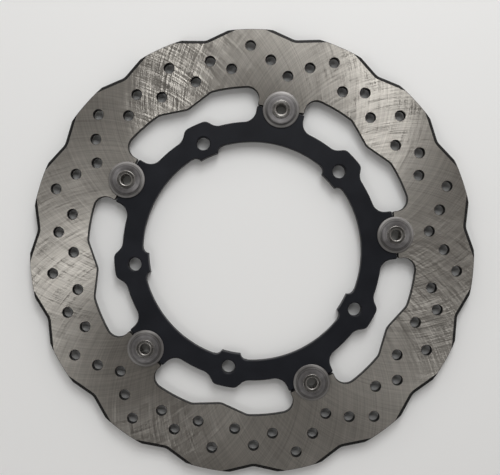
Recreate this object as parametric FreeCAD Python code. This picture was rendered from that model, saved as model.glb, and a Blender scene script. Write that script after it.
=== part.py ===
import FreeCAD, Part
import math
import os

# Floating motorcycle brake disc: a wave-edged steel rotor, a black aluminium carrier,
# and five hollow-rivet buttons that join them, each with a disc spring and a cap washer.
# Millimetres. z = 0 is the carrier's hub face and +Z points to the outer side.
# Button 1 lies on +Y; the others follow clockwise as seen from +Z.

COUNT = 5
SECTOR = 72.0

# both plates
PLATE_BACK = 1.6
PLATE_T = 4.5
PLATE_FRONT = PLATE_BACK + PLATE_T

# rotor outer edge: straight flanks rise from each rounded valley to the turned outer circle
DISC_R = 141.0
RIM_BREAK = 0.3
WAVES = 15
VALLEY_R = 136.7
WAVE_SLOPE = math.radians(13.0)
VALLEY_ROUND = 8.0
BEVEL_WIDTH = 2.0
BEVEL_DEPTH = 0.8

# rotor inner edge: five windows between five lugs
WINDOW_R = 104.5
WINDOW_POINT_R = 98.75
WINDOW_POINT_REACH = 25.0
WINDOW_ROUND = 7.5
LUG_HALF = 15.0
LUG_END = 91.8
LUG_CORNER = 1.0
INNER_BREAK = 0.3

# rotor drillings, one every six degrees, radii counted from a button line to a bolt line
HOLE_R = 3.25
HOLE_BREAK = 0.25
HOLES_PER_SECTOR = 12
HOLE_RADII = [113.2, 121.9, 130.4, 116.3, 123.3, 113.2, 127.3]

# carrier
RING_R = 82.3
BORE_R = 69.6
REGISTER_R = 66.0
TAB_HALF = 5.92
TAB_ROUND = 4.0
ARM_HALF = 15.3
ARM_END = 91.0
ARM_CORNER = 1.0
BOSS_R = 87.8
BOSS_FLANK_X = 9.6
BOSS_FLANK_Y = 84.35
BOSS_FLANK_TAN = math.tan(math.radians(52.0))
BOSS_ROUND = 4.5
WEB_ROUND = 8.0
CARRIER_BREAK = 0.7
BORE_BREAK = 0.4
BOLT_PCD = 150.0
BOLT_HOLE_R = 4.25
BOLT_HOLE_BREAK = 0.5
PAD_R = 12.5

# buttons
BUTTON_PCD = 183.0
SEAT_R = 7.58
SHANK_R = 7.5
RIVET_HOLE_R = 3.15
HEAD_R = 11.0
HEAD_BACK = 0.1
HEAD_BREAK = 0.4
NECK_R = 4.7
LIP_R = 5.7
LIP_H = 0.8
LIP_BREAK = 0.3
FUNNEL_R = 4.1
FUNNEL_DEPTH = 1.2
SPRING_R = 11.6
SPRING_HOLE_R = 7.6
SPRING_T = 0.8
SPRING_DISH = 0.45
SPRING_BREAK = 0.15
CAP_R = 9.2
CAP_HOLE_R = 4.75
CAP_T = 1.0
CAP_BREAK = 0.2

TINY = 1e-6       # nearer than this, two points are one
NEAR = 0.2        # how far from its nominal radius an edge is looked for
PAST = 1.0        # how far a cutter runs past what it cuts

V = FreeCAD.Vector
ORIGIN = V(0, 0, 0)
AXIS = V(0, 0, 1)


def turned(shape, degrees):
    """A copy turned clockwise about the disc's axis, as seen from +Z."""
    copy = shape.copy()
    copy.rotate(ORIGIN, AXIS, -degrees)
    return copy


def around(shape, count=COUNT, start=0.0):
    return [turned(shape, start + 360.0 * k / count) for k in range(count)]


def post(radius, y, low, high):
    """An upright cylinder centred on the +Y line."""
    return Part.makeCylinder(radius, high - low, V(0, y, low))


def block(half_width, y_low, y_high, low, high):
    return Part.makeBox(2 * half_width, y_high - y_low, high - low, V(-half_width, y_low, low))


def prism(points, low, high):
    corners = [V(x, y, low) for x, y in points]
    face = Part.Face(Part.makePolygon(corners + corners[:1]))
    return face.extrude(V(0, 0, high - low))


def spun(profile):
    """A solid of revolution from (radius, z) points, about the Z axis."""
    corners = [V(r, 0, z) for r, z in profile]
    face = Part.Face(Part.makePolygon(corners + corners[:1]))
    return face.revolve(ORIGIN, AXIS, 360)


def upright_edges(shape, low_r, high_r):
    """Vertical edges at a distance from the axis between the two radii."""
    found = []
    for edge in shape.Edges:
        a = edge.Vertexes[0].Point
        b = edge.Vertexes[-1].Point
        upright = math.hypot(a.x - b.x, a.y - b.y) < TINY and abs(a.z - b.z) > TINY
        if upright and low_r < math.hypot(a.x, a.y) < high_r:
            found.append(edge)
    return found


def flat_edges(shape, z, low_r, high_r):
    """Edges in the plane at height z that lie wholly between the two radii."""
    found = []
    for edge in shape.Edges:
        first, last = edge.ParameterRange
        points = [edge.valueAt(first + (last - first) * k / 4) for k in range(5)]
        flat = all(abs(p.z - z) < TINY for p in points)
        if flat and all(low_r < math.hypot(p.x, p.y) < high_r for p in points):
            found.append(edge)
    return found


# ---------------------------------------------------------------- rotor

def wave_outline(inset, z):
    """The wave edge, moved inwards by inset; its sharp crests run past the outer circle."""
    valley = VALLEY_R - inset / math.cos(WAVE_SLOPE)
    bend = VALLEY_ROUND + inset
    run = bend * math.tan(WAVE_SLOPE)
    side = V(run * math.cos(WAVE_SLOPE), valley + run * math.sin(WAVE_SLOPE), z)
    middle = V(0, valley + bend * (1 / math.cos(WAVE_SLOPE) - 1), z)
    half_pitch = math.tan(math.pi / WAVES)
    crest_x = valley * half_pitch / (1 - math.tan(WAVE_SLOPE) * half_pitch)
    crest = V(crest_x, valley + crest_x * math.tan(WAVE_SLOPE), z)
    other_side = V(-side.x, side.y, z)
    other_crest = V(-crest.x, crest.y, z)
    piece = Part.Compound([
        Part.makeLine(other_crest, other_side),
        Part.Arc(other_side, middle, side).toShape(),
        Part.makeLine(side, crest),
    ])
    edges = []
    for copy in around(piece, WAVES):
        edges.extend(copy.Edges)
    return Part.Wire(edges)


def wave_blank():
    inner_low = wave_outline(BEVEL_WIDTH, PLATE_BACK)
    outer_low = wave_outline(0, PLATE_BACK + BEVEL_DEPTH)
    outer_high = wave_outline(0, PLATE_FRONT - BEVEL_DEPTH)
    inner_high = wave_outline(BEVEL_WIDTH, PLATE_FRONT)
    lower = Part.makeLoft([inner_low, outer_low], True, True)
    middle = Part.makeLoft([outer_low, outer_high], True, True)
    upper = Part.makeLoft([outer_high, inner_high], True, True)
    turning = spun([
        (0, PLATE_BACK),
        (DISC_R - RIM_BREAK, PLATE_BACK),
        (DISC_R, PLATE_BACK + RIM_BREAK),
        (DISC_R, PLATE_FRONT - RIM_BREAK),
        (DISC_R - RIM_BREAK, PLATE_FRONT),
        (0, PLATE_FRONT),
    ])
    return turning.common(lower.fuse([middle, upper])).removeSplitter()


def centre_cutter():
    """What is taken out of the middle of the rotor, leaving the lugs."""
    low = PLATE_BACK - PAST
    high = PLATE_FRONT + PAST
    outside = WINDOW_R + 10 * PAST
    cutter = post(WINDOW_R, 0, low, high)
    lug = block(LUG_HALF, LUG_END, outside, low, high)
    rise = WINDOW_POINT_REACH * math.tan(WAVE_SLOPE)
    point = prism([
        (0, WINDOW_POINT_R),
        (WINDOW_POINT_REACH, WINDOW_POINT_R + rise),
        (WINDOW_POINT_REACH, outside),
        (-WINDOW_POINT_REACH, outside),
        (-WINDOW_POINT_REACH, WINDOW_POINT_R + rise),
    ], low, high)
    cutter = cutter.cut(around(lug) + around(point, start=SECTOR / 2))
    corners = upright_edges(cutter, WINDOW_POINT_R - NEAR, WINDOW_R + NEAR)
    cutter = cutter.makeFillet(WINDOW_ROUND, corners)
    lug_corner_r = math.hypot(LUG_HALF, LUG_END)
    corners = upright_edges(cutter, lug_corner_r - NEAR, lug_corner_r + NEAR)
    cutter = cutter.makeFillet(LUG_CORNER, corners)
    seat = post(SEAT_R, BUTTON_PCD / 2, low, high)
    return cutter.fuse(around(seat))


def drilling(radius, edge_break, y, low, high):
    """A through drilling with a small countersink at both faces."""
    hole = post(radius, y, low - PAST, high + PAST)
    sink = Part.makeCone(radius + edge_break, radius, edge_break, V(0, y, low))
    upper = Part.makeCone(radius, radius + edge_break, edge_break, V(0, y, high - edge_break))
    return hole.fuse([sink, upper])


def make_rotor():
    rotor = wave_blank().cut(centre_cutter())
    edges = flat_edges(rotor, PLATE_BACK, 0, WINDOW_R + NEAR)
    edges += flat_edges(rotor, PLATE_FRONT, 0, WINDOW_R + NEAR)
    rotor = rotor.makeChamfer(INNER_BREAK, edges)
    drills = []
    for k in range(COUNT * HOLES_PER_SECTOR):
        steps = k % HOLES_PER_SECTOR
        radius = HOLE_RADII[min(steps, HOLES_PER_SECTOR - steps)]
        drill = drilling(HOLE_R, HOLE_BREAK, radius, PLATE_BACK, PLATE_FRONT)
        drills.append(turned(drill, k * SECTOR / HOLES_PER_SECTOR))
    return rotor.cut(drills)


# ---------------------------------------------------------------- carrier

def is_seat(edge):
    """True for an arc of a button seat."""
    return isinstance(edge.Curve, Part.Circle) and abs(edge.Curve.Radius - SEAT_R) < TINY


def make_carrier():
    top = PLATE_FRONT
    under = -PAST
    over = top + PAST
    plate = post(RING_R, 0, 0, top)
    arm = block(ARM_HALF, (BORE_R + RING_R) / 2, ARM_END, 0, top)
    low_y = (BORE_R + RING_R) / 2
    high_y = BOSS_R + PAST
    low_x = BOSS_FLANK_X + (BOSS_FLANK_Y - low_y) / BOSS_FLANK_TAN
    high_x = BOSS_FLANK_X + (BOSS_FLANK_Y - high_y) / BOSS_FLANK_TAN
    boss = prism([(-low_x, low_y), (low_x, low_y), (high_x, high_y), (-high_x, high_y)], 0, top)
    boss = boss.common(post(BOSS_R, 0, 0, top))
    plate = plate.fuse(around(arm) + around(boss, start=SECTOR / 2)).removeSplitter()
    plate = plate.makeFillet(BOSS_ROUND, upright_edges(plate, BOSS_R - NEAR, BOSS_R + NEAR))
    plate = plate.makeFillet(WEB_ROUND, upright_edges(plate, RING_R - NEAR, RING_R + NEAR))
    arm_corner_r = math.hypot(ARM_HALF, ARM_END)
    corners = upright_edges(plate, arm_corner_r - NEAR, arm_corner_r + NEAR)
    plate = plate.makeFillet(ARM_CORNER, corners)

    # the bore, then the register tabs that centre the carrier on the hub
    tab = block(TAB_HALF, REGISTER_R - 10 * PAST, BORE_R + PAST, under, over)
    recess = post(BORE_R, 0, under, over).cut(around(tab, start=SECTOR / 2))
    plate = plate.cut(recess)
    plate = plate.makeFillet(TAB_ROUND, upright_edges(plate, BORE_R - NEAR, BORE_R + NEAR))
    plate = plate.cut(post(REGISTER_R, 0, under, over))

    # half-round seats for the buttons
    plate = plate.cut(around(post(SEAT_R, BUTTON_PCD / 2, under, over)))

    # only a round pad at each bolt hole, wide enough to take in its tab, keeps the full
    # thickness at the back
    pad = post(PAD_R, BOLT_PCD / 2, under - PAST, PLATE_BACK)
    relief = post(DISC_R, 0, under, PLATE_BACK).cut(around(pad, start=SECTOR / 2))
    plate = plate.cut(relief)

    # front edges: all round outside except in the seats, and all round the bore
    rim = flat_edges(plate, top, RING_R - NEAR, DISC_R)
    rim = [edge for edge in rim if not is_seat(edge)]
    plate = plate.makeChamfer(CARRIER_BREAK, rim)
    plate = plate.makeChamfer(BORE_BREAK, flat_edges(plate, top, 0, BORE_R + NEAR))
    bolt_hole = drilling(BOLT_HOLE_R, BOLT_HOLE_BREAK, BOLT_PCD / 2, 0, top)
    return plate.cut(around(bolt_hole, start=SECTOR / 2))


# ---------------------------------------------------------------- button parts

def make_button():
    """Hollow rivet: rear head, shank in both half seats, neck and flared lip."""
    shoulder = PLATE_FRONT + SPRING_DISH + SPRING_T
    lip = shoulder + CAP_T
    top = lip + LIP_H
    return spun([
        (RIVET_HOLE_R + HEAD_BREAK, HEAD_BACK),
        (HEAD_R - HEAD_BREAK, HEAD_BACK),
        (HEAD_R, HEAD_BACK + HEAD_BREAK),
        (HEAD_R, PLATE_BACK),
        (SHANK_R, PLATE_BACK),
        (SHANK_R, shoulder),
        (NECK_R, shoulder),
        (NECK_R, lip),
        (LIP_R, lip),
        (LIP_R, top - LIP_BREAK),
        (LIP_R - LIP_BREAK, top),
        (FUNNEL_R, top),
        (RIVET_HOLE_R, top - FUNNEL_DEPTH),
        (RIVET_HOLE_R, HEAD_BACK + HEAD_BREAK),
    ])


def make_spring():
    """Dished disc spring: its rim presses on rotor and carrier, its hole edge on the cap."""
    rim = PLATE_FRONT
    eye = PLATE_FRONT + SPRING_DISH
    return spun([
        (SPRING_R - SPRING_BREAK, rim),
        (SPRING_R, rim + SPRING_BREAK),
        (SPRING_R, rim + SPRING_T - SPRING_BREAK),
        (SPRING_R - SPRING_BREAK, rim + SPRING_T),
        (SPRING_HOLE_R, eye + SPRING_T),
        (SPRING_HOLE_R, eye),
    ])


def make_cap():
    low = PLATE_FRONT + SPRING_DISH + SPRING_T
    high = low + CAP_T
    return spun([
        (CAP_HOLE_R, low),
        (CAP_R, low),
        (CAP_R, high - CAP_BREAK),
        (CAP_R - CAP_BREAK, high),
        (CAP_HOLE_R, high),
    ])


def write(name, shape):
    if not shape.isValid() or len(shape.Solids) != 1:
        raise RuntimeError("%s: valid %s, solids %d" % (name, shape.isValid(), len(shape.Solids)))
    shape.Solids[0].exportStep("parts/%s.step" % name)
    box = shape.BoundBox
    print("%-16s volume %9.1f mm3, z %.2f to %.2f" % (name, shape.Volume, box.ZMin, box.ZMax))


os.makedirs("parts", exist_ok=True)
write("rotor", make_rotor())
write("carrier", make_carrier())
BUTTON_PARTS = {
    "bobbin": make_button(),
    "spring_washer": make_spring(),
    "cap_washer": make_cap(),
}
for name, solid in BUTTON_PARTS.items():
    solid.translate(V(0, BUTTON_PCD / 2, 0))
    for k in range(COUNT):
        write("%s_%d" % (name, k + 1), turned(solid, SECTOR * k))
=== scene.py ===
import math

import bmesh
import bpy
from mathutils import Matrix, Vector


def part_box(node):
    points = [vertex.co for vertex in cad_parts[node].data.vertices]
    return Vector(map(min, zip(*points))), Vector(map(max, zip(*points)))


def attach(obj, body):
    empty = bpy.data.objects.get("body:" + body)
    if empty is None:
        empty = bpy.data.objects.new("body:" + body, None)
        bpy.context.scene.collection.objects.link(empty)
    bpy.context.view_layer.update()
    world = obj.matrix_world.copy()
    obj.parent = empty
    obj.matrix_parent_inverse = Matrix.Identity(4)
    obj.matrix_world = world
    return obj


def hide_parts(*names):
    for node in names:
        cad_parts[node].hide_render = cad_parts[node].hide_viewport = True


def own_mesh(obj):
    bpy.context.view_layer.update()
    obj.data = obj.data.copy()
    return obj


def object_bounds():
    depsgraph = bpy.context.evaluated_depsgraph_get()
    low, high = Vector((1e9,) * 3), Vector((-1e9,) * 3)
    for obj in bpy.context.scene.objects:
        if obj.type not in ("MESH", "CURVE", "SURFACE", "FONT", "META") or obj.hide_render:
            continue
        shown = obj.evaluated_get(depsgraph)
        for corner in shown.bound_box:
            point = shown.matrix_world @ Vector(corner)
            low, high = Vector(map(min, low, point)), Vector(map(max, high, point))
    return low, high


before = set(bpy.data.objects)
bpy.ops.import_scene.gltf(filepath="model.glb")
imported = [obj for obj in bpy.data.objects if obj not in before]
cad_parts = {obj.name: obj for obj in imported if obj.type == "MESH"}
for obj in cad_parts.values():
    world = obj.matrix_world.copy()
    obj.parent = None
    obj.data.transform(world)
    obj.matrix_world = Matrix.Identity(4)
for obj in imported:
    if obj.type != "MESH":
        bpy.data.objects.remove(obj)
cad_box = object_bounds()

# A floating brake disc seen from straight above. Sizes below are in millimetres and turn
# into metres where a mesh is made. Button 1 lies on +Y, and +Z is the outer side.

MM = 0.001
COUNT = 5
SECTOR = math.radians(72.0)
QUARTER = math.pi / 2
TINY = 0.001                      # closer than this, two points are one
SHARP = math.radians(20.0)        # edges bent more than this are not shaded smooth
ORIGIN = Vector((0.0, 0.0))
RIGHT = Vector((1.0, 0.0))

# heights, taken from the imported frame
PLATE_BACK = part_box("rotor")[0].z / MM
PLATE_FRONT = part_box("rotor")[1].z / MM
PAD_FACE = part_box("carrier")[0].z / MM
HEAD_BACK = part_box("bobbin_1")[0].z / MM
CAP_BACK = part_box("cap_washer_1")[0].z / MM
CAP_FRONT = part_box("cap_washer_1")[1].z / MM
LIP_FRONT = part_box("bobbin_1")[1].z / MM

# rotor outer edge
DISC_R = 141.0
RIM_BREAK = 0.3
WAVES = 15
VALLEY_R = 136.7
WAVE_SLOPE = math.radians(13.0)
VALLEY_ROUND = 8.0
BEVEL_WIDTH = 2.0
BEVEL_DEPTH = 0.8

# rotor inner edge
WINDOW_R = 104.5
WINDOW_POINT_R = 98.75
WINDOW_ROUND = 7.5
LUG_HALF = 15.0
LUG_END = 91.8
LUG_CORNER = 1.0
INNER_BREAK = 0.3

# rotor drillings, every six degrees, radii counted from a button line to a bolt line
HOLE_R = 3.25
HOLE_BREAK = 0.25
HOLES_PER_SECTOR = 12
HOLE_RADII = [113.2, 121.9, 130.4, 116.3, 123.3, 113.2, 127.3]

# carrier
RING_R = 82.3
BORE_R = 69.6
REGISTER_R = 66.0
TAB_HALF = 5.92
TAB_ROUND = 4.0
ARM_HALF = 15.3
ARM_END = 91.0
ARM_CORNER = 1.0
BOSS_R = 87.8
BOSS_FLANK_X = 9.6
BOSS_FLANK_Y = 84.35
BOSS_SLOPE = math.radians(52.0)
BOSS_ROUND = 4.5
WEB_ROUND = 8.0
CARRIER_BREAK = 0.7
BORE_BREAK = 0.4
BOLT_R = 75.0
BOLT_HOLE_R = 4.25
BOLT_HOLE_BREAK = 0.5
PAD_R = 12.5

# buttons
BUTTON_R = 91.5
BUTTON = Vector((0.0, BUTTON_R))
SEAT_R = 7.58
SHANK_R = 7.5
RIVET_HOLE_R = 3.15
HEAD_R = 11.0
HEAD_BREAK = 0.4
NECK_R = 4.7
LIP_R = 5.7
LIP_BREAK = 0.3
FUNNEL_R = 4.1
FUNNEL_DEPTH = 1.2
SPRING_R = 11.6
SPRING_HOLE_R = 7.6
SPRING_T = 0.8
CAP_R = 9.2
CAP_HOLE_R = 4.75

CAP_EDGE = 0.15
TURN_BETWEEN = math.radians(67.0)  # from one button's parts to the next one's

# steps along each arc of an outline, or round a circle
EDGE_STEPS = 1800
SEAT_STEPS = 24
CORNER_STEPS = 8
WINDOW_END_STEPS = 26
WINDOW_STEPS = 28
POINT_STEPS = 6
WEB_STEPS = 24
RING_STEPS = 20
FOOT_STEPS = 16
HEAD_STEPS = 12
BOSS_STEPS = 6
BORE_STEPS = 60
TAB_CORNER_STEPS = 20
TAB_STEPS = 10
PAD_STEPS = 48
DRILLING_STEPS = 56
BOLT_HOLE_STEPS = 64
LATHE_STEPS = 128
FUNNEL_STEPS = 10
SPRING_EDGE_STEPS = 10
CAP_EDGE_STEPS = 6
BREAK_STEPS = 4
ROUND_STEPS = 8

# the rotor's materials
GROUND = 0
BLACK = 1
BARE = 2

# finish of the ground faces: a cup stone of this radius cuts arcs through the disc's axis
STONE_R = 105.0
SCRATCH_RUN = 60.0
STRONG_FAMILY = 0.065             # how much oftener the scratches lean one way than the other

# camera: straight down, above a point near the disc's centre, turned about the axis
VIEW_HEIGHT = 435.0
VIEW_WIDTH = 317.2
VIEW_TURN = math.radians(11.6)
VIEW_ASIDE = -1.3
VIEW_UP = 8.6

# light boxes: angle from the picture's right and height in degrees, and power in watts
SOFTBOXES = {
    "window": (80.0, 35.0, 3.8),
    "window_left": (88.0, 56.0, 1.45),
    "window_right": (62.0, 50.0, 0.8),
    "side": (222.0, 50.0, 0.9),
    "fill": (300.0, 50.0, 0.22),
}
BOX_DISTANCE = 1.1                # metres, as the next two are
BOX_SIZE = 0.35
FLOOR_SIZE = 60.0

# light from the room, by height above the horizon
ROOM_COLOUR = (1.0, 0.96, 0.935, 1.0)
SKIRTING_LIGHT = 0.51
WALL_LIGHT = 1.31
CEILING_LIGHT = 0.073
SKIRTING_TOP = 0.25               # heights are sines of the angle above the horizon
CEILING_BOTTOM = 0.9
WINDOW_SIDE = 80.0                # degrees from the picture's right
FAR_SIDE = 0.4                    # light of the wall across from the window, 1 on average


# ---------------------------------------------------------------- outlines

def turned(point, angle):
    """The point turned clockwise about the axis, as seen from +Z."""
    c = math.cos(angle)
    s = math.sin(angle)
    return Vector((point.x * c + point.y * s, point.y * c - point.x * s))


def arc(centre, radius, start, end, count):
    """Points of an arc between two angles in radians, in count equal steps."""
    angles = [start + (end - start) * k / count for k in range(count + 1)]
    return [centre + radius * Vector((math.cos(a), math.sin(a))) for a in angles]


def circle(centre, radius, count):
    return arc(centre, radius, 0.0, 2 * math.pi, count)[:-1]


def angle_of(vector):
    return math.atan2(vector.y, vector.x)


def on_circle(normal, offset, radius):
    """Where the line normal . p = offset meets a circle about the axis, on its +Y side."""
    along = Vector((-normal.y, normal.x))
    if along.y < 0:
        along = -along
    return normal * offset + along * math.sqrt(radius ** 2 - offset ** 2)


def whole(half):
    """The closed outline from its half sector, which runs from a button line to a bolt line."""
    points = []
    for k in range(COUNT):
        points += [turned(p, SECTOR * k) for p in half]
        points += [turned(Vector((-p.x, p.y)), SECTOR * (k + 1)) for p in reversed(half)]
    following = points[1:] + points[:1]
    return [p for p, q in zip(points, following) if (p - q).length > TINY]


def window_outline(inset):
    """The rotor's inner edge with its seats, lugs and windows, moved into the steel by inset."""
    seat = SEAT_R + inset
    half = arc(BUTTON, seat, QUARTER, math.asin((LUG_END + inset - BUTTON_R) / seat), SEAT_STEPS)
    corner = Vector((LUG_HALF - LUG_CORNER, LUG_END + LUG_CORNER))
    half += arc(corner, LUG_CORNER - inset, -QUARTER, 0.0, CORNER_STEPS)
    inner = WINDOW_R - WINDOW_ROUND
    first = on_circle(RIGHT, LUG_HALF + WINDOW_ROUND, inner)
    half += arc(first, WINDOW_ROUND + inset, math.pi, angle_of(first), WINDOW_END_STEPS)

    # the rest is laid out about the bolt line: arc, straight flank, rounded point
    flank = Vector((math.sin(WAVE_SLOPE), math.cos(WAVE_SLOPE)))
    reach = WINDOW_POINT_R * math.cos(WAVE_SLOPE)
    second = on_circle(flank, reach - WINDOW_ROUND, inner)
    tip = Vector((0.0, WINDOW_POINT_R + WINDOW_ROUND / math.cos(WAVE_SLOPE)))
    start = angle_of(first) + SECTOR / 2
    far = arc(ORIGIN, WINDOW_R + inset, start, angle_of(second), WINDOW_STEPS)
    far += arc(second, WINDOW_ROUND + inset, angle_of(second), angle_of(flank), CORNER_STEPS)
    far += arc(tip, WINDOW_ROUND - inset, angle_of(flank) + math.pi, 3 * QUARTER, POINT_STEPS)
    return whole(half + [turned(p, SECTOR / 2) for p in far])


def carrier_outline(inset):
    """The carrier's outer edge, moved into the metal by inset, but not in the seats."""
    end = math.asin((ARM_END - inset - BUTTON_R) / SEAT_R)
    half = arc(BUTTON, SEAT_R, -QUARTER, end, SEAT_STEPS)
    corner = Vector((ARM_HALF - ARM_CORNER, ARM_END - ARM_CORNER))
    half += arc(corner, ARM_CORNER - inset, QUARTER, 0.0, CORNER_STEPS)
    web = on_circle(RIGHT, ARM_HALF + WEB_ROUND, RING_R + WEB_ROUND)
    half += arc(web, WEB_ROUND + inset, math.pi, math.pi + angle_of(web), WEB_STEPS)

    # the rest is laid out about the bolt line: ring, fillet, flank, rounded corner, boss
    flank = Vector((-math.sin(BOSS_SLOPE), math.cos(BOSS_SLOPE)))
    reach = flank.dot(Vector((-BOSS_FLANK_X, BOSS_FLANK_Y)))
    foot = on_circle(flank, reach + WEB_ROUND, RING_R + WEB_ROUND)
    head = on_circle(flank, reach - BOSS_ROUND, BOSS_R - BOSS_ROUND)
    toward = math.pi + angle_of(foot)
    far = arc(ORIGIN, RING_R - inset, angle_of(web) + SECTOR / 2, angle_of(foot), RING_STEPS)
    far += arc(foot, WEB_ROUND + inset, toward, angle_of(flank) + math.pi, FOOT_STEPS)
    far += arc(head, BOSS_ROUND - inset, angle_of(flank), angle_of(head), HEAD_STEPS)
    far += arc(ORIGIN, BOSS_R - inset, angle_of(head), QUARTER, BOSS_STEPS)
    return whole(half + [turned(p, SECTOR / 2) for p in far])


def pad_meets_bore():
    """The angle from a bolt line at which the round pad behind it meets the bore."""
    height = (BORE_R ** 2 + BOLT_R ** 2 - PAD_R ** 2) / (2 * BOLT_R)
    return math.acos(height / BORE_R)


def bore_outline(inset):
    """The carrier's inner edge: the bore, and five tabs that reach in to the register."""
    start = QUARTER + pad_meets_bore()
    bore = BORE_R + inset
    half = arc(ORIGIN, bore, QUARTER, start - SECTOR / 2, BORE_STEPS)
    centre = on_circle(-RIGHT, TAB_HALF + TAB_ROUND, BORE_R - TAB_ROUND)
    bend = TAB_ROUND + inset
    register = REGISTER_R + inset
    share = (register ** 2 - centre.length ** 2 - bend ** 2) / (2 * bend * centre.length)
    stop = angle_of(centre) - math.acos(share)
    tip = centre + bend * Vector((math.cos(stop), math.sin(stop)))
    far = arc(ORIGIN, bore, start, angle_of(centre), 1)
    far += arc(centre, bend, angle_of(centre), stop, TAB_CORNER_STEPS)
    far += arc(ORIGIN, register, angle_of(tip), QUARTER, TAB_STEPS)
    return whole(half + [turned(p, SECTOR / 2) for p in far])


def wave_radius(angle, inset):
    """Distance from the axis to the wave edge, moved in by inset, before the rim is turned."""
    pitch = 2 * math.pi / WAVES
    away = abs((angle + pitch / 2) % pitch - pitch / 2)
    valley = VALLEY_R - inset / math.cos(WAVE_SLOPE)
    bend = VALLEY_ROUND + inset
    centre = valley + bend / math.cos(WAVE_SLOPE)
    on_flank = valley * math.cos(WAVE_SLOPE) / math.cos(away + WAVE_SLOPE)
    if on_flank * math.sin(away) > bend * math.sin(WAVE_SLOPE):
        return on_flank
    return centre * math.cos(away) - math.sqrt(bend ** 2 - (centre * math.sin(away)) ** 2)


def edge_section(angle):
    """Radius and depth of the ground face's edge and of the crease below it, at one angle."""
    face = wave_radius(angle, BEVEL_WIDTH)
    wall = wave_radius(angle, 0.0)
    if wall <= DISC_R:
        return face, wall, BEVEL_DEPTH
    depth = BEVEL_DEPTH * (DISC_R - face) / (wall - face)
    return min(face, DISC_R - RIM_BREAK), DISC_R, max(depth, RIM_BREAK)


# ---------------------------------------------------------------- meshes

class Shell:
    """A closed mesh built from rings of points, given in millimetres."""

    def __init__(self):
        self.mesh = bmesh.new()

    def ring(self, points, height):
        """height is one number, or one for each point."""
        heights = height if isinstance(height, list) else [height] * len(points)
        new = self.mesh.verts.new
        return [new((p.x * MM, p.y * MM, z * MM)) for p, z in zip(points, heights)]

    def strip(self, first, second, materials, closed=True):
        """Quads between two rings; materials is one slot number, or one for each quad."""
        count = len(first) if closed else len(first) - 1
        slots = materials if isinstance(materials, list) else [materials] * count
        for k in range(count):
            n = (k + 1) % len(first)
            face = self.mesh.faces.new((first[k], first[n], second[n], second[k]))
            face.material_index = slots[k]

    def fill(self, rings, slot):
        """A flat face bounded by one ring, with the others as holes in it."""
        edges = []
        for ring in rings:
            pairs = zip(ring, ring[1:] + ring[:1])
            edges += [self.mesh.edges.get(pair) or self.mesh.edges.new(pair) for pair in pairs]
        made = bmesh.ops.triangle_fill(self.mesh, use_beauty=True, edges=edges, normal=(0, 0, 1))
        for item in made["geom"]:
            if isinstance(item, bmesh.types.BMFace):
                item.material_index = slot

    def finish(self, name, materials):
        """The mesh, shaded smooth but for its sharp edges."""
        bmesh.ops.recalc_face_normals(self.mesh, faces=self.mesh.faces)
        for face in self.mesh.faces:
            face.smooth = True
        for edge in self.mesh.edges:
            edge.smooth = edge.calc_face_angle(math.pi) < SHARP
        data = bpy.data.meshes.new(name)
        self.mesh.to_mesh(data)
        self.mesh.free()
        for material in materials:
            data.materials.append(material)
        return data


def add_piece(name, data):
    piece = bpy.data.objects.new(name, data)
    bpy.context.scene.collection.objects.link(piece)
    return piece


def round_hole(shell, centre, radius, edge_break, back, front, count, slot):
    """The wall of a drilled hole with a countersink at both faces; returns its end rings."""
    rings = [
        shell.ring(circle(centre, radius + edge_break, count), front),
        shell.ring(circle(centre, radius, count), front - edge_break),
        shell.ring(circle(centre, radius, count), back + edge_break),
        shell.ring(circle(centre, radius + edge_break, count), back),
    ]
    for first, second in zip(rings, rings[1:]):
        shell.strip(first, second, slot)
    return rings[0], rings[-1]


def make_rotor(ground, black, bare):
    """The ground faces, the black cut edges and drillings, and the bare turned crests."""
    shell = Shell()
    angles = [2 * math.pi * k / EDGE_STEPS for k in range(EDGE_STEPS)]
    face = []
    crease = []
    depths = []
    on_wall = []
    for angle in angles:
        face_r, wall_r, depth = edge_section(angle)
        outward = Vector((math.sin(angle), math.cos(angle)))
        face.append(outward * face_r)
        crease.append(outward * wall_r)
        depths.append(depth)
        on_wall.append(BARE if wall_r > DISC_R - TINY else BLACK)
    front = shell.ring(face, PLATE_FRONT)
    upper = shell.ring(crease, [PLATE_FRONT - d for d in depths])
    lower = shell.ring(crease, [PLATE_BACK + d for d in depths])
    back = shell.ring(face, PLATE_BACK)
    shell.strip(front, upper, BLACK)
    shell.strip(upper, lower, on_wall)
    shell.strip(lower, back, BLACK)
    fronts = [front]
    backs = [back]

    inner = [
        shell.ring(window_outline(INNER_BREAK), PLATE_FRONT),
        shell.ring(window_outline(0.0), PLATE_FRONT - INNER_BREAK),
        shell.ring(window_outline(0.0), PLATE_BACK + INNER_BREAK),
        shell.ring(window_outline(INNER_BREAK), PLATE_BACK),
    ]
    for first, second in zip(inner, inner[1:]):
        shell.strip(first, second, BLACK)
    fronts.append(inner[0])
    backs.append(inner[-1])

    for k in range(COUNT * HOLES_PER_SECTOR):
        steps = k % HOLES_PER_SECTOR
        radius = HOLE_RADII[min(steps, HOLES_PER_SECTOR - steps)]
        centre = turned(Vector((0.0, radius)), k * SECTOR / HOLES_PER_SECTOR)
        first, last = round_hole(
            shell, centre, HOLE_R, HOLE_BREAK, PLATE_BACK, PLATE_FRONT, DRILLING_STEPS, BLACK)
        fronts.append(first)
        backs.append(last)
    shell.fill(fronts, GROUND)
    shell.fill(backs, GROUND)
    return add_piece("rotor_plate", shell.finish("rotor_plate", [ground, black, bare]))


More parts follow.
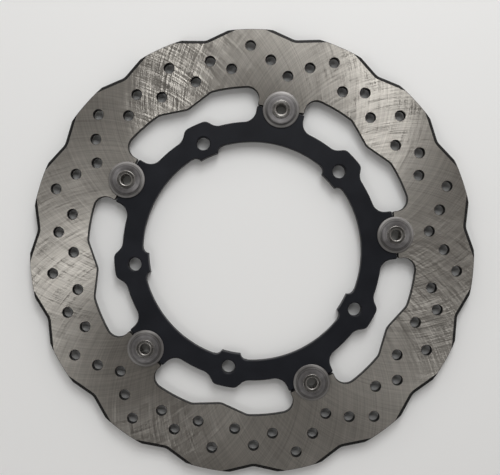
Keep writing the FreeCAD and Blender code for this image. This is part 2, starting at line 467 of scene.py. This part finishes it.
def make_carrier(anodised):
    shell = Shell()
    outer = [
        shell.ring(carrier_outline(CARRIER_BREAK), PLATE_FRONT),
        shell.ring(carrier_outline(0.0), PLATE_FRONT - CARRIER_BREAK),
        shell.ring(carrier_outline(0.0), PLATE_BACK),
    ]
    bore_points = bore_outline(0.0)
    bore = [
        shell.ring(bore_outline(BORE_BREAK), PLATE_FRONT),
        shell.ring(bore_points, PLATE_FRONT - BORE_BREAK),
        shell.ring(bore_points, PLATE_BACK),
    ]
    for rings in (outer, bore):
        for first, second in zip(rings, rings[1:]):
            shell.strip(first, second, 0)
    fronts = [outer[0], bore[0]]

    # behind each bolt hole the bore's wall and a round wall go down to the pad's face
    bolts = [turned(Vector((0.0, BOLT_R)), SECTOR * (k + 0.5)) for k in range(COUNT)]
    meets = [
        [i for i, p in enumerate(bore_points) if abs((p - bolt).length - PAD_R) < TINY]
        for bolt in bolts
    ]
    recess = []
    for k, bolt in enumerate(bolts):
        begin, end = meets[k]
        tab = bore[2][begin:end + 1]
        low_tab = shell.ring(bore_points[begin:end + 1], PAD_FACE)
        shell.strip(tab, low_tab, 0, closed=False)
        first = angle_of(bore_points[end] - bolt)
        last = angle_of(bore_points[begin] - bolt)
        if last < first:
            last += 2 * math.pi
        round_points = arc(bolt, PAD_R, first, last, PAD_STEPS)[1:-1]
        high = [tab[-1]] + shell.ring(round_points, PLATE_BACK) + [tab[0]]
        low = [low_tab[-1]] + shell.ring(round_points, PAD_FACE) + [low_tab[0]]
        shell.strip(high, low, 0, closed=False)
        front, back = round_hole(
            shell, bolt, BOLT_HOLE_R, BOLT_HOLE_BREAK, PAD_FACE, PLATE_FRONT, BOLT_HOLE_STEPS, 0)
        fronts.append(front)
        shell.fill([low_tab + low[1:-1], back], 0)
        after = meets[(k + 1) % COUNT][0]
        count = (after - end - 1) % len(bore_points)
        between = [bore[2][(end + 1 + i) % len(bore_points)] for i in range(count)]
        recess += list(reversed(high)) + between
    shell.fill(fronts, 0)
    shell.fill([outer[2], recess], 0)
    return add_piece("carrier_plate", shell.finish("carrier_plate", [anodised]))


def lathed(name, profile, material):
    """A round mesh about its own axis, from a closed list of (radius, height) points."""
    shell = Shell()
    rings = [shell.ring(circle(ORIGIN, r, LATHE_STEPS), z) for r, z in profile]
    for first, second in zip(rings, rings[1:] + rings[:1]):
        shell.strip(first, second, 0)
    return shell.finish(name, [material])


def bend(r, z, radius, start, end, count=ROUND_STEPS):
    """Points of an arc in a lathe profile, its angles in degrees."""
    centre = Vector((r, z))
    return [tuple(p) for p in arc(centre, radius, math.radians(start), math.radians(end), count)]


def rivet_profile():
    """Rear head, shank, neck, and a flat lip over the cap with a rounded funnel in it."""
    low = HEAD_BACK + HEAD_BREAK
    profile = bend(RIVET_HOLE_R + HEAD_BREAK, low, HEAD_BREAK, 180, 270, BREAK_STEPS)
    profile += bend(HEAD_R - HEAD_BREAK, low, HEAD_BREAK, 270, 360, BREAK_STEPS)
    profile += [(HEAD_R, PLATE_BACK), (SHANK_R, PLATE_BACK), (SHANK_R, CAP_BACK)]
    profile += [(NECK_R, CAP_BACK), (NECK_R, CAP_FRONT), (LIP_R, CAP_FRONT)]
    profile += bend(LIP_R - LIP_BREAK, LIP_FRONT - LIP_BREAK, LIP_BREAK, 0, 90)
    run = FUNNEL_R - RIVET_HOLE_R
    for k in range(FUNNEL_STEPS + 1):
        turn = QUARTER * k / FUNNEL_STEPS
        radius = FUNNEL_R - run * math.sin(turn)
        profile.append((radius, LIP_FRONT - FUNNEL_DEPTH * (1 - math.cos(turn))))
    return profile


def spring_profile():
    """A dished ring, high at its eye, with rounded edges."""
    half = SPRING_T / 2
    rise = CAP_BACK - half - (PLATE_FRONT + half)
    run = SPRING_R - SPRING_HOLE_R - 2 * half
    tilt = math.degrees(math.atan2(rise, run))
    outer = PLATE_FRONT + half
    inner = CAP_BACK - half
    edge = bend(SPRING_R - half, outer, half, -90 - tilt, 90 - tilt, SPRING_EDGE_STEPS)
    eye = bend(SPRING_HOLE_R + half, inner, half, 90 - tilt, 270 - tilt, SPRING_EDGE_STEPS)
    return edge + eye


def cap_profile():
    """A flat ring with its edges rounded, but not the one hidden at the back of its hole."""
    edge = CAP_EDGE
    profile = bend(CAP_R - edge, CAP_BACK + edge, edge, -90, 0, BREAK_STEPS)
    profile += bend(CAP_R - edge, CAP_FRONT - edge, edge, 0, 90, CAP_EDGE_STEPS)
    profile += bend(CAP_HOLE_R + edge, CAP_FRONT - edge, edge, 90, 180, BREAK_STEPS)
    profile += [(CAP_HOLE_R, CAP_BACK)]
    return profile


# ---------------------------------------------------------------- materials

class Look:
    """A material, with short calls to add nodes to it. Coordinates are in millimetres."""

    def __init__(self, name, **constants):
        self.material = bpy.data.materials.new(name)
        self.material.use_nodes = True
        self.tree = self.material.node_tree
        self.shader = self.tree.nodes["Principled BSDF"]
        self.set(self.shader, constants)
        place = self.node("TexCoord").outputs["Object"]
        self.place = self.vector("SCALE", place, Scale=1 / MM)
        axes = self.node("SeparateXYZ", {0: self.place})
        self.x, self.y, self.z = axes.outputs

    def set(self, node, values):
        for name, value in values.items():
            socket = node.inputs[name]
            if isinstance(value, bpy.types.NodeSocket):
                self.tree.links.new(value, socket)
            else:
                socket.default_value = value

    def node(self, kind, values=None, **settings):
        node = self.tree.nodes.new("ShaderNode" + kind)
        for name, value in settings.items():
            setattr(node, name, value)
        self.set(node, values or {})
        return node

    def calc(self, operation, *values):
        node = self.node("Math", dict(enumerate(values)), operation=operation)
        return node.outputs[0]

    def vector(self, operation, *values, **named):
        inputs = dict(enumerate(values))
        inputs.update(named)
        node = self.node("VectorMath", inputs, operation=operation)
        return node.outputs["Value" if operation == "LENGTH" else "Vector"]

    def point(self, x, y, z):
        return self.node("CombineXYZ", {0: x, 1: y, 2: z}).outputs[0]

    def noise(self, where, scale, detail=3.0, roughness=0.5):
        values = {"Vector": where, "Scale": scale, "Detail": detail, "Roughness": roughness}
        return self.node("TexNoise", values).outputs["Fac"]

    def between(self, value, low, high, start=0.0, stop=1.0):
        """Maps value from low..high to start..stop, held at both ends."""
        values = {"Value": value, 1: low, 2: high, 3: start, 4: stop}
        return self.node("MapRange", values).outputs["Result"]

    def shade(self, share, dark, light):
        """A colour between two, each given as (r, g, b)."""
        values = {0: share, 6: (*dark, 1.0), 7: (*light, 1.0)}
        return self.node("Mix", values, data_type="RGBA").outputs[2]

    def choose(self, share, first, second):
        """A vector between two."""
        values = {0: share, 4: first, 5: second}
        return self.node("Mix", values, data_type="VECTOR").outputs[1]

    def bump(self, height, depth):
        """Relief of this depth in millimetres."""
        values = {"Height": height, "Strength": 1.0, "Distance": depth * MM}
        self.set(self.shader, {"Normal": self.node("Bump", values).outputs["Normal"]})


def ground_steel():
    """Crossed arcs from a cup stone: the direction of the scratches turns with the disc."""
    look = Look("ground_steel", Metallic=1.0, Anisotropic=1.0)
    flat = look.point(look.x, look.y, 0.0)
    radius = look.vector("LENGTH", flat)
    angle = look.calc("ARCTAN2", look.y, look.x)
    lean = look.calc("ARCCOSINE", look.calc("DIVIDE", radius, 2 * STONE_R))
    run = look.point(0.0, 0.0, look.calc("ADD", look.calc("DIVIDE", radius, SCRATCH_RUN), look.z))
    families = []
    for side in ("ADD", "SUBTRACT"):
        turn = look.calc(side, angle, lean)
        toward = look.point(look.calc("COSINE", turn), look.calc("SINE", turn), 0.0)
        centre = look.vector("SCALE", toward, Scale=STONE_R)
        where = look.vector("ADD", centre, run)
        lines = look.noise(where, 1.1, 3.0, 0.8)
        fine = look.noise(where, 3.4, 2.0, 0.7)
        families.append((lines, fine, look.vector("SUBTRACT", flat, centre)))
    (lines, fine, across), (other_lines, other_fine, other_across) = families
    over = look.calc("GREATER_THAN", look.calc("ADD", other_fine, STRONG_FAMILY), fine)
    tangent = look.vector("NORMALIZE", look.choose(over, across, other_across))
    cloud = look.noise(look.place, 0.03, 3.0)
    hatch = look.calc("ADD", lines, other_lines)
    light = look.calc("ADD", look.between(hatch, 0.75, 1.25, 0.0, 0.8),
                      look.between(cloud, 0.3, 0.7, 0.0, 0.2))
    look.set(look.shader, {
        "Base Color": look.shade(light, (0.315, 0.300, 0.274), (0.565, 0.539, 0.491)),
        "Roughness": look.between(cloud, 0.3, 0.7, 0.345, 0.38),
        "Tangent": tangent,
    })
    look.bump(look.calc("MAXIMUM", fine, other_fine), 0.006)
    return look.material


def blackened_steel():
    """The cut edges and drillings, coated before the faces were ground."""
    look = Look("blackened_steel", Metallic=0.0, **{"Specular IOR Level": 0.15})
    grain = look.noise(look.place, 1.6, 4.0, 0.6)
    look.set(look.shader, {
        "Base Color": look.shade(grain, (0.006, 0.006, 0.0065), (0.020, 0.0195, 0.019)),
        "Roughness": look.between(grain, 0.3, 0.7, 0.42, 0.58),
    })
    look.bump(grain, 0.03)
    return look.material


def turned_steel(name, dark, light, roughness, pitch):
    """Steel turned in a lathe: fine rings about the piece's own axis."""
    look = Look(name, Metallic=1.0, Anisotropic=0.5)
    flat = look.point(look.x, look.y, 0.0)
    radius = look.vector("LENGTH", flat)
    rings = look.noise(look.point(radius, look.z, 0.0), 1 / pitch, 3.0, 0.6)
    cloud = look.noise(look.place, 0.35, 3.0)
    share = look.calc("ADD", look.between(rings, 0.4, 0.6, 0.0, 0.7),
                      look.between(cloud, 0.3, 0.7, 0.0, 0.3))
    look.set(look.shader, {
        "Base Color": look.shade(share, dark, light),
        "Roughness": look.between(cloud, 0.3, 0.7, roughness - 0.04, roughness + 0.04),
        "Tangent": look.vector("NORMALIZE", flat),
    })
    look.bump(rings, 0.008)
    return look.material


def black_anodised():
    """Satin black aluminium, faintly blue, with a fine blasted grain."""
    look = Look("black_anodised", Metallic=0.0, **{"Specular IOR Level": 0.22})
    grain = look.noise(look.place, 2.5, 3.0, 0.6)
    cloud = look.noise(look.place, 0.06, 3.0)
    share = look.calc("ADD", look.between(grain, 0.3, 0.7, 0.0, 0.5),
                      look.between(cloud, 0.3, 0.7, 0.0, 0.5))
    look.set(look.shader, {
        "Base Color": look.shade(share, (0.0068, 0.0075, 0.0100), (0.0135, 0.015, 0.020)),
        "Roughness": look.between(cloud, 0.3, 0.7, 0.42, 0.52),
    })
    look.bump(grain, 0.012)
    return look.material


def floor_look():
    look = Look("pale_floor", Roughness=0.8)
    cloud = look.noise(look.place, 0.004, 2.0)
    look.set(look.shader, {
        "Base Color": look.shade(cloud, (0.875, 0.885, 0.88), (0.905, 0.915, 0.91)),
    })
    return look.material


# ---------------------------------------------------------------- the disc

rotor = make_rotor(
    ground_steel(),
    blackened_steel(),
    turned_steel("turned_rim", (0.30, 0.29, 0.28), (0.55, 0.53, 0.51), 0.32, 0.4),
)
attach(rotor, "rotor")
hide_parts("rotor")

carrier = make_carrier(black_anodised())
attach(carrier, "carrier")
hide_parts("carrier")

rivet_steel = turned_steel("rivet_steel", (0.23, 0.222, 0.21), (0.41, 0.397, 0.375), 0.28, 0.25)
washer_steel = turned_steel("washer_steel", (0.115, 0.112, 0.112), (0.285, 0.275, 0.275), 0.50, 0.5)
spring_steel = turned_steel("spring_steel", (0.14, 0.136, 0.132), (0.29, 0.282, 0.275), 0.50, 0.6)
button_parts = [
    ("rivet", "bobbin", rivet_profile(), rivet_steel, "bright_steel"),
    ("cap", "cap_washer", cap_profile(), washer_steel, "washer_steel"),
    ("disc_spring", "spring_washer", spring_profile(), spring_steel, "spring_steel"),
]
for name, node, profile, material, slot in button_parts:
    shared = lathed(name, profile, material)
    for k in range(COUNT):
        piece = add_piece("%s_%d" % (name, k + 1), shared)
        place = turned(BUTTON, SECTOR * k) * MM
        piece.location = (place.x, place.y, 0.0)
        piece.rotation_euler.z = k * TURN_BETWEEN
        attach(piece, "bobbin_%d" % (k + 1))
        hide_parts("%s_%d" % (node, k + 1))
        if name == "disc_spring":
            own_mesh(piece)


# ---------------------------------------------------------------- floor, light, camera

def in_view(azimuth, elevation):
    """A direction by its angle from the picture's right, and its height, in degrees."""
    turn = math.radians(azimuth) + VIEW_TURN
    level = math.cos(math.radians(elevation))
    high = math.sin(math.radians(elevation))
    return Vector((level * math.cos(turn), level * math.sin(turn), high))


def softbox(name, azimuth, elevation, power):
    data = bpy.data.lights.new(name, "AREA")
    data.shape = "SQUARE"
    data.size = BOX_SIZE
    data.energy = power
    lamp = bpy.data.objects.new(name, data)
    bpy.context.scene.collection.objects.link(lamp)
    direction = in_view(azimuth, elevation)
    lamp.location = direction * BOX_DISTANCE
    lamp.rotation_euler = direction.to_track_quat("Z", "Y").to_euler()


def make_floor():
    bpy.ops.mesh.primitive_plane_add(size=FLOOR_SIZE, location=(0, 0, cad_box[0].z))
    floor = bpy.context.object
    floor.name = "floor"
    floor.data.materials.append(floor_look())


def make_world():
    """A room with pale walls, brightest on the window side, and a dark ceiling and skirting."""
    world = bpy.data.worlds.new("studio")
    world.use_nodes = True
    nodes = world.node_tree.nodes
    links = world.node_tree.links

    def ramp(values):
        node = nodes.new("ShaderNodeMapRange")
        for name, value in values.items():
            node.inputs[name].default_value = value
        return node

    def times(first, second):
        node = nodes.new("ShaderNodeMath")
        node.operation = "MULTIPLY"
        links.new(first, node.inputs[0])
        links.new(second, node.inputs[1])
        return node.outputs[0]

    direction = nodes.new("ShaderNodeTexCoord").outputs["Generated"]
    axes = nodes.new("ShaderNodeSeparateXYZ")
    window = nodes.new("ShaderNodeVectorMath")
    window.operation = "DOT_PRODUCT"
    window.inputs[1].default_value = in_view(WINDOW_SIDE, 0.0)
    links.new(direction, axes.inputs[0])
    links.new(direction, window.inputs[0])
    fade = ramp({"From Max": CEILING_BOTTOM, "To Min": WALL_LIGHT, "To Max": CEILING_LIGHT})
    skirting = ramp({"From Max": SKIRTING_TOP, "To Min": SKIRTING_LIGHT / WALL_LIGHT})
    side = ramp({"From Min": -1.0, "To Min": FAR_SIDE, "To Max": 2.0 - FAR_SIDE})
    links.new(axes.outputs["Z"], fade.inputs["Value"])
    links.new(axes.outputs["Z"], skirting.inputs["Value"])
    links.new(window.outputs["Value"], side.inputs["Value"])
    strength = times(times(fade.outputs[0], skirting.outputs[0]), side.outputs[0])
    background = nodes["Background"]
    background.inputs["Color"].default_value = ROOM_COLOUR
    links.new(strength, background.inputs["Strength"])
    bpy.context.scene.world = world


def make_camera():
    right = Vector((math.cos(VIEW_TURN), math.sin(VIEW_TURN), 0.0))
    up = Vector((-right.y, right.x, 0.0))
    data = bpy.data.cameras.new("camera")
    data.angle = 2 * math.atan(VIEW_WIDTH / 2 / VIEW_HEIGHT)
    camera = bpy.data.objects.new("camera", data)
    bpy.context.scene.collection.objects.link(camera)
    height = Vector((0.0, 0.0, PLATE_FRONT + VIEW_HEIGHT))
    camera.location = (right * VIEW_ASIDE + up * VIEW_UP + height) * MM
    camera.rotation_euler.z = VIEW_TURN
    bpy.context.scene.camera = camera


make_floor()
make_world()
for name, (azimuth, elevation, power) in SOFTBOXES.items():
    softbox(name, azimuth, elevation, power)
make_camera()
bpy.context.scene.view_settings.view_transform = "Standard"
